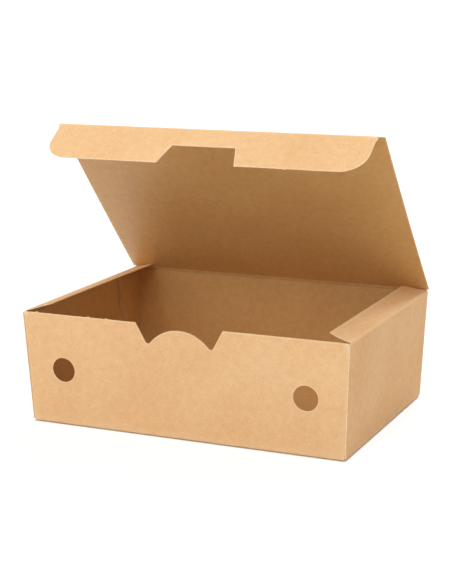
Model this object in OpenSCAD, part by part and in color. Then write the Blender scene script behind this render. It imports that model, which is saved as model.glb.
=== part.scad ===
// Takeaway box: one die-cut sheet of kraft board, folded into a tray with
// flared walls, a lid hinged on the back wall, a tuck flap on the lid and a
// dust flap on each side wall. Drawn standing open, with the front towards -Y.

/* [Tray] */
// Width of the base, left to right
base_w = 200; // [160:1:240]
// Depth of the base, front to back
base_d = 138; // [110:1:170]
// Height of the lid's fold above the table
tray_h = 69; // [50:1:90]
// How far each wall leans out between its foot and the lid's fold
wall_flare = 3.2; // [1:0.1:6]
// Thickness of the board
board_t = 0.5; // [0.4:0.05:0.8]

/* [Glue tabs] */
// Width of a glue tab, from the corner fold to its free edge
tab_w = 26; // [15:0.5:35]
// Distance from a glue tab's top edge to the fold of the side wall
tab_top_drop = 3; // [2:0.5:8]
// Length of a glue tab's upright free edge
tab_edge_l = 18.5; // [8:0.5:25]
// Height above the base fold at which a glue tab's slanted edge starts
tab_foot = 4; // [2:0.5:8]
// How far the glued boards are pressed into each other
glue_press = 0.02; // [0.01:0.01:0.05]

/* [Vent holes] */
// Diameter of a vent hole
vent_d = 15; // [8:0.5:20]
// Distance between the centres of the vent holes
vent_span = 154; // [110:1:160]
// Height of the vent holes' centres above the table
vent_z = 34.5; // [20:0.5:40]

/* [Finger notch] */
// Width of the notch at the top edge of the front wall
notch_w = 55.2; // [44:0.2:64]
// Lean of the notch's slanted sides, in degrees from upright
notch_lean = 29; // [15:1:35]
// Radius of the tongue between the two arms of the notch
tongue_r = 24; // [16:0.5:30]
// Distance from the top edge of the front wall down to the tongue
tongue_drop = 2.6; // [1:0.2:5]
// Radius at the bottom of each arm
notch_round = 1.5; // [1:0.1:2.5]

/* [Lid] */
// Angle of the lid, counted from shut
lid_open = 48; // [30:1:100]
// How far the lid's side edges stand out past the tray
lid_overhang = 0.8; // [0:0.1:2]
// Gap between the shut lid and the edges that it lies over
lid_gap = 0.3; // [0.2:0.05:0.6]

/* [Tuck flap] */
// Depth of the tuck flap, from its fold to its free edge
tuck_depth = 30.5; // [24:0.5:40]
// Angle that the tuck flap is folded out of the lid's plane
tuck_fold = 82; // [30:1:100]
// Radius of the tuck flap's corners
tuck_corner_r = 15; // [6:0.5:20]
// Width of the cut-out at the free edge
cutout_mouth_w = 48.8; // [44:0.2:60]
// Width of the cut-out at its closed end
cutout_end_w = 40.2; // [30:0.2:43]
// Depth of the cut-out, from the free edge
cutout_depth = 15.3; // [8:0.1:20]
// Gap between the tuck flap's fold and the inside of the front wall
tuck_gap = 0.3; // [0.2:0.05:0.6]
// Gap between each end of the tuck flap and the glue tab that it passes
tuck_end_gap = 0.7; // [0.3:0.1:2]

/* [Dust flaps] */
// Width of a dust flap, from its fold to its inner edge
dust_w = 15.5; // [10:0.5:24]
// Distance from the front wall's fold line to the flap's fold at its front end
dust_front_set = 2.9; // [2.5:0.1:6]
// Distance from the front wall's fold line to the flap's pointed tip
dust_tip_set = 10.3; // [7:0.1:18]
// How far the flap's front edge bulges out of a straight line
dust_bulge = 0.8; // [0.2:0.1:1.5]
// Tilt of the left dust flap above level
left_tilt = 13; // [0:1:20]
// Tilt of the right dust flap above level
right_tilt = 10; // [0:1:20]
// Gap between the back corner of a raised dust flap and the lid
dust_lid_gap = 0.4; // [0.3:0.1:2]

/* [Folds] */
// Gap between a fold's bead and the panel that it turns on
fold_gap = 0.15; // [0.1:0.05:0.3]

/* [Hidden] */

KRAFT_OUT = "#dfb982";
KRAFT_LID = "#cfa56e";
KRAFT_FLAP = "#d9b078";

// Round shapes: facets of a bead or hole, and points along a quarter turn
ROUND = 48;
ARC_STEPS = 12;

// A fold is a round bead of the board's own thickness
bead_r = board_t / 2;
fold_reach = bead_r + fold_gap;

// Every wall leans out by the same angle from its fold at the base
foot_z = board_t / 2;
lean = atan(wall_flare / (tray_h - foot_z));
function up_slope(z) = (z - foot_z) / cos(lean);
function lean_out(v) = v * sin(lean);

// Heights of the folds and of the front wall's cut edge
side_fold_z = tray_h - board_t - lid_gap;
front_top_z = tray_h - bead_r - lid_gap;
front_slope = up_slope(front_top_z);
side_slope = up_slope(side_fold_z) - fold_reach;
back_slope = up_slope(tray_h) - fold_reach;

// Half sizes at the base folds, on the middle of the board's thickness
half_w = base_w / 2 - foot_z;
half_d = base_d / 2 - foot_z;
// The front and back walls end one glued board inside the side walls
tab_inset = board_t - glue_press;
half_front = half_w - tab_inset / cos(lean);

// The lid runs from its fold to the fold of the tuck flap, inside the front wall
hinge_y = half_d + lean_out(up_slope(tray_h));
front_inside_y = -(half_d + lean_out(front_slope) - board_t / 2 / cos(lean));
lid_l = hinge_y - (front_inside_y + bead_r + tuck_gap);
lid_half_w = base_w / 2 + wall_flare + lid_overhang;

// The tuck flap's straight sides pass between the glue tabs
tuck_side_l = tuck_depth - tuck_corner_r;
tuck_side_z = tray_h - tuck_side_l;
tuck_half_w = half_front + lean_out(up_slope(tuck_side_z)) - board_t / 2 - tuck_end_gap;

// Fold of a dust flap, and how far its back edge stays from the lid's fold
dust_fold_x = half_w + lean_out(up_slope(side_fold_z));
dust_top_tilt = max(left_tilt, right_tilt);
dust_rise = dust_w * sin(dust_top_tilt) + board_t - (tray_h - side_fold_z) + board_t / 2;
dust_back_corner = dust_rise / tan(lid_open) + dust_lid_gap;
dust_front_y = -(hinge_y - dust_front_set);
dust_tip_y = -(hinge_y - dust_tip_set);
dust_back_y = hinge_y - board_t / 2 - bead_r - lid_gap;

// Points of an arc from angle a to angle b
function arc(centre, r, a, b) =
    [for (i = [0:ARC_STEPS]) centre + r * [cos(a + (b - a) * i / ARC_STEPS),
                                           sin(a + (b - a) * i / ARC_STEPS)]];

function mirrored(points) =
    [for (i = [len(points) - 1:-1:0]) [-points[i].x, points[i].y]];

// A panel is an outline with the board's thickness, centred on the outline's plane
module panel() {
    linear_extrude(height = board_t, center = true)
        children();
}

// A straight fold between two points of the outline's plane
module fold(p, q) {
    translate([p.x, p.y, 0])
        rotate([0, 0, atan2(q.y - p.y, q.x - p.x)])
            rotate([0, 90, 0])
                cylinder(h = norm(q - p), r = bead_r, $fn = ROUND);
}

// Stands what is drawn flat up on one side of the base: X runs along the wall
module stand_up(turn, run) {
    rotate([0, 0, turn])
        translate([0, -run, foot_z])
            rotate([90 + lean, 0, 0])
                children();
}

// Outline of a wall: straight foot, sides that widen with the flare
module wall_outline(half_foot, height) {
    half_top = half_foot + lean_out(height);
    polygon([[-half_foot, 0], [half_foot, 0], [half_top, height], [-half_top, height]]);
}

// Centre of the small round at the bottom of the notch's right arm, where it
// touches the slanted side and the tongue. The front wall's top edge is y = 0.
tongue_c = [0, -tongue_drop - tongue_r];
slant_dir = [-sin(notch_lean), -cos(notch_lean)];
slant_in = [-cos(notch_lean), sin(notch_lean)];
slant_start = [notch_w / 2, 0] + notch_round * slant_in - tongue_c;
slant_b = slant_start * slant_dir;
slant_c = slant_start * slant_start - pow(tongue_r + notch_round, 2);
slant_run = -slant_b - sqrt(slant_b * slant_b - slant_c);
round_c = tongue_c + slant_start + slant_run * slant_dir;
round_from = round_c - tongue_c;
tongue_angle = atan2(round_from.y, round_from.x);

// The notch's right half: slanted side, round bottom, and the side of the tongue
notch_half = concat(
    [[notch_w / 2, notch_round], [notch_w / 2, 0]],
    arc(round_c, notch_round, -notch_lean, tongue_angle - 180),
    arc(tongue_c, tongue_r, tongue_angle, 90)
);

module finger_notch() {
    translate([0, front_slope])
        polygon(concat(notch_half, mirrored(notch_half)));
}

module front_wall() {
    panel()
        difference() {
            wall_outline(half_front, front_slope);
            finger_notch();
            for (side = [-1, 1])
                translate([side * vent_span / 2, up_slope(vent_z)])
                    circle(d = vent_d, $fn = ROUND);
        }
}

// A glue tab folded back from the corner at the right end of a side wall
module glue_tab() {
    top = up_slope(side_fold_z) - tab_top_drop;
    corner_top = [half_d + lean_out(top), top];
    corner_foot = [half_d + lean_out(tab_foot), tab_foot];
    translate([0, 0, -tab_inset])
        panel()
            polygon([corner_foot, corner_top, corner_top - [tab_w, 0],
                     corner_top - [tab_w, tab_edge_l]]);
}

module side_wall() {
    panel()
        wall_outline(half_d + bead_r, side_slope);
    for (side = [0, 1])
        mirror([side, 0, 0])
            glue_tab();
}

// The folds at a wall's two corners end just under its top edge
module corner_folds(height) {
    top = height - bead_r;
    for (side = [-1, 1])
        fold([side * half_front, 0], [side * (half_front + lean_out(top)), top]);
}

// The folded tray: base, four walls and four glue tabs in one piece
module tray() {
    color(KRAFT_OUT) {
        translate([0, 0, foot_z]) {
            panel()
                square([2 * half_w, 2 * half_d], center = true);
            for (side = [-1, 1]) {
                fold([-half_w, side * half_d], [half_w, side * half_d]);
                fold([side * half_w, -half_d], [side * half_w, half_d]);
            }
        }
        stand_up(0, half_d) {
            front_wall();
            corner_folds(front_slope);
        }
        stand_up(180, half_d) {
            panel()
                wall_outline(half_front, back_slope);
            corner_folds(back_slope);
        }
        for (turn = [90, 270])
            stand_up(turn, half_w)
                side_wall();
    }
}

// Lays a panel out from a fold that runs along X, raised by an angle above level
module from_lid_fold(angle) {
    rotate([-angle, 0, 0])
        mirror([0, 1, 0])
            children();
}

module lid() {
    color(KRAFT_LID)
        translate([0, hinge_y, tray_h])
            from_lid_fold(lid_open) {
                fold([-lid_half_w, 0], [lid_half_w, 0]);
                panel()
                    translate([-lid_half_w, 0])
                        square([2 * lid_half_w, lid_l - fold_reach]);
            }
}

// Right half of the tuck flap's outline, from the cut-out round to the fold
tuck_half = concat(
    [[cutout_end_w / 2, tuck_depth - cutout_depth], [cutout_mouth_w / 2, tuck_depth]],
    arc([tuck_half_w - tuck_corner_r, tuck_side_l], tuck_corner_r, 90, 0),
    [[tuck_half_w, 0]]
);

module tuck_flap() {
    color(KRAFT_FLAP)
        translate([0, hinge_y - lid_l * cos(lid_open), tray_h + lid_l * sin(lid_open)])
            from_lid_fold(lid_open - tuck_fold) {
                fold([-tuck_half_w, 0], [tuck_half_w, 0]);
                panel()
                    polygon(concat(tuck_half, mirrored(tuck_half)));
            }
}

// Front edge of a dust flap: a shallow arc from the fold to the pointed tip
dust_chord = [dust_w, dust_tip_y - dust_front_y];
dust_chord_l = norm(dust_chord);
dust_arc_r = (dust_chord_l * dust_chord_l / 4 + dust_bulge * dust_bulge) / 2 / dust_bulge;
dust_arc_half = asin(dust_chord_l / 2 / dust_arc_r);
dust_chord_a = atan2(dust_chord.y, dust_chord.x);
dust_arc_c = [0, dust_front_y] + dust_chord / 2
    + (dust_arc_r - dust_bulge) * [-sin(dust_chord_a), cos(dust_chord_a)];
dust_edge = arc(dust_arc_c, dust_arc_r,
                dust_chord_a - 90 - dust_arc_half, dust_chord_a - 90 + dust_arc_half);

// A dust flap with its fold along Y at x = 0 and its inner edge at x = dust_w
module dust_flap() {
    fold([0, dust_front_y], [0, dust_back_y]);
    panel()
        polygon(concat(dust_edge, [[dust_w, hinge_y - dust_back_corner], [0, dust_back_y]]));
}

module left_dust_flap() {
    color(KRAFT_FLAP)
        translate([-dust_fold_x, 0, side_fold_z])
            rotate([0, -left_tilt, 0])
                dust_flap();
}

module right_dust_flap() {
    color(KRAFT_FLAP)
        translate([dust_fold_x, 0, side_fold_z])
            rotate([0, right_tilt, 0])
                mirror([1, 0, 0])
                    dust_flap();
}

tray();
lid();
tuck_flap();
left_dust_flap();
right_dust_flap();
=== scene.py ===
"""Dresses the takeaway box: one sheet of kraft board, cut flat, folded and glued.

The tray, the lid, the tuck flap and the two dust flaps are cut as flat outlines, as the
real die cuts them, filled with a fine mesh and folded through rounded creases. The four
creases that move are built for the angles at which the parts stand.
"""

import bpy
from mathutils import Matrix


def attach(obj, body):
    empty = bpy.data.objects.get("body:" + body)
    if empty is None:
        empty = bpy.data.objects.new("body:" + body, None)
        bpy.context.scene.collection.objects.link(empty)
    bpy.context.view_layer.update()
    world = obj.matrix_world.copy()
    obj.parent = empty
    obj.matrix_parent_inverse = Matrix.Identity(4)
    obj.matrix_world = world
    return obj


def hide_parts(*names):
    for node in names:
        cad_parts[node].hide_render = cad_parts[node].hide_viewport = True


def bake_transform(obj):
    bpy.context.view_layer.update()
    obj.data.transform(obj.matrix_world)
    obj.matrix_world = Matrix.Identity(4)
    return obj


bl_info = {
    "name": "Takeaway box",
    "version": (1, 0, 0),
    "blender": (4, 5, 0),
    "location": "3D View > Sidebar > Takeaway box",
    "description": "Folds a kraft board takeaway box around its packed frame",
    "category": "Add Mesh",
}

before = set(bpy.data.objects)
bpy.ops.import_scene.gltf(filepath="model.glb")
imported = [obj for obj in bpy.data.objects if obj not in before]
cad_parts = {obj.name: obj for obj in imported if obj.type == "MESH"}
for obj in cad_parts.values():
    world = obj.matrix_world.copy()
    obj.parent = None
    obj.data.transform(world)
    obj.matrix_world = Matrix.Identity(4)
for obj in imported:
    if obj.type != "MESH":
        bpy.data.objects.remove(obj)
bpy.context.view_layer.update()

import math

import bpy
import numpy as np
from bpy.props import FloatProperty, FloatVectorProperty, PointerProperty
from mathutils import Matrix, Vector
from mathutils.geometry import delaunay_2d_cdt

# Width of the pale rim along a cut, and of the pale line along a crease, each partly paler fibres
# and partly painted highlight
RIM, FADE = 0.0009, 0.0012
# The pale line at a wall's foot, partly the worn fold and partly a painted reflection of the white
# floor: its strength before it is held to 1, and its width
FOOT_WEAR_AND_SHEEN, FOOT_SHEEN_WIDTH = 1.3, 0.0024
# Width of the painted shadow line along a glue tab's free edge, and its share in the painted shadow
# just under the lid's fold
TAB_SHADOW_LINE, SCORE_SHADE = 0.0007, 0.75
# Nick tags, left where the sheet was broken out of its frame: along the front edge from the
# notch to the left, along the tuck flap from its cut-out outwards, and their size and shape
FRONT_TAGS = (0.019, 0.031, 0.066)
TUCK_TAGS = (0.0306,)
TAG_WIDE, TAG_HIGH = 0.0016, 0.0005
TAG_SHAPE = ((-1 / 2, 0), (-1 / 3, 1), (1 / 3, 1), (1 / 2, 0))
# Relief cut at the base's corners, and the heights at which a side wall and a corner fold start
GAP, FOOT_START, CORNER_FOOT = 0.0003, 0.0002, 0.0012
# How far from a fold the board steps in or out beside it
SHOULDER, END_SHOULDER = 0.0005, 0.0004
# Distances from the tuck flap's fold between which the flap narrows
EAR = (0.0034, 0.0048)
# Share of the base over which it sinks from its edges, and room past a side wall's corner
BASE_SAG, WALL_ROOM = 0.25, 0.0008
# Share of a moving crease that its rib takes up
RIB_WIDE = 0.17
# The mesh: lines over a fixed crease, how far they stay from a cut and from the lid's corners,
# how far the grid stays from a line, in cells, and the points beside a cut, in rims
CREASE_LINES, HAIR, FOLD_END = 7, 0.00002, 0.003
GRID_CLEAR, RING_CLEAR = 0.45, 0.6
# It is cut in millimetres, where points this close are one. Slivers are left out
MM, TOUCH, SLIVER = 1000, 1e-4, 1e-12
# Slack when points are told apart, and when they are found at a fold
TINY, SLACK = 1e-7, 0.0001
# In the node trees: distance at which points merge, angle of a sharp edge, and the share of
# inner points below which a face is an outer face
WELD, SHARP, INNER_SHARE = 1e-6, math.radians(50), 0.4
# The board's faces, as the materials and the trees' inputs name them
FACES = ("Inner face", "Outer face", "Cut edge")
# How strongly the grain changes the red, the green and the blue of the board
GRAIN = (1.0, 1.8, 2.4)
# Tints between which the board's colour drifts, and the depth of its relief
WARM, COOL, RELIEF = (1.0, 0.985, 0.95), (1.0, 1.012, 1.05), 0.0001
# Half the floor's side, and the point that the lamps stand around
FLOOR_HALF, LAMP_AIM = 60.0, (0, 0, 0.05)


def length(name, text, default):
    """A size in metres."""
    return FloatProperty(name=name, description=text, default=default, unit="LENGTH", precision=5)


def angle(name, text, degrees):
    """An angle, given in degrees and kept in radians."""
    return FloatProperty(
        name=name, description=text, default=math.radians(degrees), unit="ROTATION"
    )


def share(name, text, default, top=1.0):
    """A share or a strength."""
    return FloatProperty(name=name, description=text, default=default, min=0.0, max=top)


def colour(name, text, default):
    """A colour, in linear values."""
    return FloatVectorProperty(
        name=name, description=text, default=default, size=3, subtype="COLOR", min=0, max=1
    )


# Sizes


class TraySizes(bpy.types.PropertyGroup):
    """Sizes of the board, the tray and its cuts"""

    base_w: length("Base width", "Width of the base, left to right", 0.2)
    base_d: length("Base depth", "Depth of the base, front to back", 0.138)
    tray_h: length("Fold height", "Height of the lid's fold above the table", 0.069)
    flare: length("Wall flare", "How far each wall leans out at the top", 0.0032)
    board: length("Board", "Thickness of the board", 0.0005)
    crease_r: length("Crease radius", "Radius of a crease, to the middle of the board", 0.0007)
    corner_r: length("Corner radius", "Radius of a corner fold, to the middle", 0.00035)
    side_drop: length("Side drop", "How far the side folds lie under the lid's fold", 0.0008)
    front_drop: length("Front drop", "How far the front edge lies under the lid's fold", 0.00055)
    tab_w: length("Glue tab width", "From the corner fold to the free edge", 0.026)
    tab_drop: length("Glue tab drop", "From the side fold to the tab's top edge", 0.003)
    tab_edge: length("Glue tab edge", "Length of the tab's upright free edge", 0.0185)
    tab_foot: length("Glue tab foot", "Height at which the tab starts", 0.004)
    tab_inset: length("Glue tab inset", "How far the tab lies inside the side wall", 0.00052)
    tab_lift: length("Glue tab lift", "How far the tab's free edge stands off the wall", 0.00035)
    vent_d: length("Vent diameter", "Diameter of a vent hole", 0.015)
    vent_span: length("Vent spacing", "Between the centres of the vents", 0.154)
    vent_z: length("Vent height", "Height of the vents' centres", 0.0345)
    notch_w: length("Notch width", "Width of the finger notch at the top", 0.0552)
    notch_lean: angle("Notch lean", "Lean of the notch's slanted sides", 29)
    tongue_r: length("Tongue radius", "Radius of the tongue in the notch", 0.024)
    tongue_drop: length("Tongue drop", "From the front edge down to the tongue", 0.0026)
    notch_round: length("Notch round", "Radius at the bottom of each arm", 0.0019)
    foot_lift: length("Foot lift", "How far the base's edges stand off the table", 0.0004)
    wall_bow: length("Wall bow", "How far a wall bulges at its middle", 0.0005)
    cell: length("Mesh cell", "Longest edge of the board's mesh", 0.005)


class FlapSizes(bpy.types.PropertyGroup):
    """Sizes and angles of the lid, the tuck flap and the dust flaps"""

    lid_open: angle("Lid angle", "Angle of the lid, counted from shut", 48)
    lid_l: length("Lid length", "From the lid's fold to the tuck flap's fold", 0.1430741)
    lid_half_w: length("Lid half width", "From the middle to the lid's side edge", 0.104)
    lid_skew: length("Lid skew", "How far the lid's front edge sits to the right", 0.0015)
    lid_bow: length("Lid bow", "How far the lid bulges at its middle", 0.0006)
    tuck_depth: length("Tuck flap depth", "From its fold to its free edge", 0.0305)
    tuck_fold: angle("Tuck flap angle", "Angle between the tuck flap and the lid", 82)
    tuck_half_w: length("Tuck flap half width", "From the middle to its straight end", 0.10082)
    tuck_skew: length("Tuck flap skew", "How far the tuck flap sits to the right", 0.0004)
    tuck_r: length("Tuck flap corner", "Radius of the tuck flap's corners", 0.015)
    cutout_mouth: length("Cut-out mouth", "Width of the cut-out at the free edge", 0.0488)
    cutout_end: length("Cut-out end", "Width of the cut-out at its closed end", 0.0402)
    cutout_r: length("Cut-out round", "Radius of the cut-out's inner corners", 0.0012)
    tuck_ear: length("Tuck flap ear", "How much wider the tuck flap is at its fold", 0.0006)
    cutout_depth: length("Cut-out depth", "Depth of the cut-out", 0.0153)
    dust_w: length("Dust flap width", "From its fold to its inner edge", 0.0155)
    dust_front: length("Dust flap front", "From the front fold to the flap's fold", 0.0029)
    dust_tip: length("Dust flap tip", "From the front fold to the flap's tip", 0.0103)
    dust_bulge: length("Dust flap bulge", "How far its front edge bulges", 0.0008)
    dust_back: length("Dust flap back", "From the lid's fold to the flap's fold", 0.0008)
    dust_corner: length("Dust flap corner", "From the lid's fold to its back corner", 0.0034)
    left_tilt: angle("Left tilt", "Tilt of the left dust flap above level", 13)
    right_tilt: angle("Right tilt", "Tilt of the right dust flap above level", 10)
    left_twist: angle("Left twist", "How much more the left dust flap tilts at its front", 3)
    reach: length("Fold reach", "How far a moving crease reaches each way", 0.0009)
    rib: length("Crease rib", "Height of the rib inside a small crease", 0.00014)
    lid_rib: length("Lid crease rib", "Height of the rib inside the lid's crease", 0.00022)


class KraftLook(bpy.types.PropertyGroup):
    """Colours and finish of the board"""

    board: colour("Outer face", "Colour of the board's outer face", (0.825, 0.520, 0.272))
    # Darker and more saturated than the outer face: painted shade for the inside of the box
    inner: colour("Inner face", "Colour of the board's inner face", (0.640, 0.366, 0.134))
    edge: colour("Cut edge", "Colour of a cut edge", (0.940, 0.720, 0.470))
    # Paler along creases and cuts: partly paler fibres, partly painted highlight
    crease: share("Outer crease", "How much paler the outer face is along a crease", 0.22)
    inner_crease: share("Inner crease", "How much paler the inner face is along a crease", 0.02)
    rim: share("Outer rim", "How much paler the outer face is along a cut", 0.55)
    inner_rim: share("Inner rim", "How much paler the inner face is along a cut", 0.35)
    gloss: share("Gloss", "Strength of the board's soft reflection", 0.05)
    inner_gloss: share("Inner gloss", "Strength of the inner face's reflection", 0.65)
    inner_rough: share("Inner roughness", "Roughness of the inner face", 0.42)
    # Painted shadow: how much darker the inner face is along a glue tab's free edge and, at a
    # share, just under the lid's fold
    glue: share("Glue shade", "How much darker the board is along a glue tab's edge", 0.5)
    clouds: share("Clouds", "Contrast of the soft patches", 0.084)
    fibres: share("Fibres", "Contrast of the fibres", 0.091)
    flecks: share("Flecks", "Contrast of the dark flecks", 0.076)
    rough: share("Roughness", "Roughness of the board", 0.78)
    bump: share("Bump", "Strength of the fibres' relief", 0.12)


class StageLook(bpy.types.PropertyGroup):
    """Camera, lamps and floor"""

    camera_at: FloatVectorProperty(
        name="Camera place",
        description="Where the camera stands",
        default=(0.36637, -0.81277, 0.27147),
        size=3,
        subtype="TRANSLATION",
        unit="LENGTH",
        precision=5,
    )
    azimuth: angle("Azimuth", "Camera's angle to the right of the front", 24.43)
    elevation: angle("Elevation", "Camera's angle above level", 12.50)
    roll: angle("Roll", "Camera's turn about its own axis", -0.52)
    lens: FloatProperty(
        name="Lens", description="Focal length", default=92.337, unit="CAMERA", subtype="NONE"
    )
    sky: share("Sky", "Brightness of the soft light all round", 0.34, 4)
    sky_colour: colour("Sky colour", "Colour of the soft light all round", (1.0, 0.97, 0.88))
    front: share("Front lamp", "Power of the lamp at the front, in watts", 18.2, 200)
    left: share("Left lamp", "Power of the lamp at the front left, in watts", 8.4, 200)
    right: share("Right lamp", "Power of the lamp at the right, in watts", 3.4, 200)
    back: share("Back lamp", "Power of the lamp behind and above, in watts", 29.0, 200)
    lamp_far: length("Lamp distance", "From the box to each lamp", 2.0)
    lamp_size: length("Lamp size", "Side of each square lamp", 1.2)
    floor: colour("Floor", "Colour of the floor", (0.86, 0.86, 0.86))
    haze: share("Haze", "How far the shadow near the box is washed out", 0.65)
    glow: share("Floor glow", "Brightness that washes the shadow out", 1.18, 2)
    near: length("Haze start", "Distance from the box at which the floor starts to fade", 0.3)
    contact: length("Contact shadow", "How far the shadow under the foot stays unwashed", 0.0012)
    far: length("Haze end", "Distance from the box at which the floor is plain white", 1.1)


def tray_sizes():
    """The sizes of the board and the tray."""
    return bpy.context.scene.takeaway_tray


def flap_sizes():
    """The sizes of the lid and the flaps."""
    return bpy.context.scene.takeaway_flaps


# Flat cutting


def arc(centre, radius, start, end, steps=12):
    """Points of an arc, from one angle to another."""
    return [
        (centre[0] + radius * math.cos(a), centre[1] + radius * math.sin(a))
        for a in np.linspace(start, end, steps + 1)
    ]


def mirrored(points):
    """The points of a right half turned into its left half, in running order."""
    return [(-x, y) for x, y in reversed(points)]


def stepped(loop, cell, closed=True):
    """A line with no repeated points, and no step longer than a cell."""
    ends = list(loop[1:]) + ([loop[0]] if closed else [])
    out = []
    for p, q in zip(loop, ends):
        p, q = np.array(p, float), np.array(q, float)
        n = math.ceil(np.linalg.norm(q - p) / cell - 1e-6)
        out += [tuple(p + (q - p) * i / n) for i in range(n)]
    return out if closed else out + [tuple(loop[-1])]


def inside(points, loop):
    """Which points lie inside a closed line."""
    x, y = points[:, 0], points[:, 1]
    found = np.zeros(len(points), bool)
    for (x0, y0), (x1, y1) in zip(loop, loop[1:] + loop[:1]):
        if y0 != y1:
            found ^= ((y0 > y) != (y1 > y)) & (x < (x1 - x0) * (y - y0) / (y1 - y0) + x0)
    return found


def distance(points, starts, ends):
    """How far each point is from the nearest of these short lines."""
    found = np.full(len(points), np.inf)
    for p, q in zip(np.array(starts), np.array(ends)):
        d = q - p
        t = np.clip((points - p) @ d / max(d @ d, 1e-18), 0, 1)
        found = np.minimum(found, np.linalg.norm(points - p - t[:, None] * d, axis=1))
    return found


def fading(gap, width):
    """1 where there is no gap, falling to 0 at a width."""
    return np.clip(1 - gap / width, 0, 1)


def inset(line, gap):
    """An open line drawn in by a gap, towards the middle of its ends."""
    middle = (np.array(line[0]) + np.array(line[-1])) / 2
    away = np.array(line) - middle
    return [tuple(middle + a * (1 - gap / np.linalg.norm(a))) for a in away]


def nicked(start, end, places):
    """A line's points with a small tag at each place, standing out to the line's left."""
    start, end = np.array(start), np.array(end)
    run = (end - start) / np.linalg.norm(end - start)
    out = np.array([-run[1], run[0]]) * TAG_HIGH
    points = [start]
    for place in places:
        at = start + run * place
        points += [at + run * TAG_WIDE * along + out * rise for along, rise in TAG_SHAPE]
    return [tuple(p) for p in points]


def beside(loop, gap):
    """Points a gap to either side of a closed line's own points."""
    points = np.array(loop)
    run = np.roll(points, -1, axis=0) - np.roll(points, 1, axis=0)
    run /= np.linalg.norm(run, axis=1)[:, None]
    side = gap * np.stack([-run[:, 1], run[:, 0]], 1)
    return np.vstack([points + side, points - side])


def cut_sheet(outline, holes=(), folds=()):
    """A flat sheet cut to an outline: its points, its triangles, and how near a rim each is."""
    cell = tray_sizes().cell
    points, edges = [], []
    loops = [stepped(loop, cell) for loop in [outline, *holes]]
    for loop in loops:
        base = len(points)
        points += loop
        edges += [(base + i, base + (i + 1) % len(loop)) for i in range(len(loop))]
    for line in folds:
        base = len(points)
        points += stepped(line, cell, closed=False)
        edges += [(i, i + 1) for i in range(base, len(points) - 1)]
    at = np.array(points)
    low, high = at.min(0), at.max(0)
    rows = [np.arange(low[i] + cell / 2, high[i], cell) for i in (0, 1)]
    grid = np.stack(np.meshgrid(*rows), -1).reshape(-1, 2)
    grid = grid[inside(grid, loops[0])]
    starts, ends = at[[a for a, _ in edges]], at[[b for _, b in edges]]
    grid = grid[distance(grid, starts, ends) > GRID_CLEAR * cell]
    ring = np.vstack([beside(loop, RIM) for loop in loops])
    ring = ring[distance(ring, starts, ends) > RING_CLEAR * RIM]
    flat = np.vstack([at, ring, grid]) * MM
    made = delaunay_2d_cdt([Vector(p) for p in flat], edges, [], 0, TOUCH)
    verts = np.array([tuple(v) for v in made[0]]) / MM
    faces = np.array([f for f in made[2] if len(f) == 3])
    middle = verts[faces].mean(1)
    keep = inside(middle, loops[0])
    for hole in loops[1:]:
        keep &= ~inside(middle, hole)
    a, b, c = (verts[faces[:, i]] for i in range(3))
    turn = (b - a)[:, 0] * (c - a)[:, 1] - (b - a)[:, 1] * (c - a)[:, 0]
    keep &= np.abs(turn) > SLIVER
    faces[turn < 0] = faces[turn < 0][:, ::-1]
    used, faces = np.unique(faces[keep], return_inverse=True)
    cuts = sum(len(loop) for loop in loops)
    rim = fading(distance(verts[used], starts[:cuts], ends[:cuts]), RIM)
    return verts[used], faces.reshape(-1, 3), rim


# Folding the tray


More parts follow.
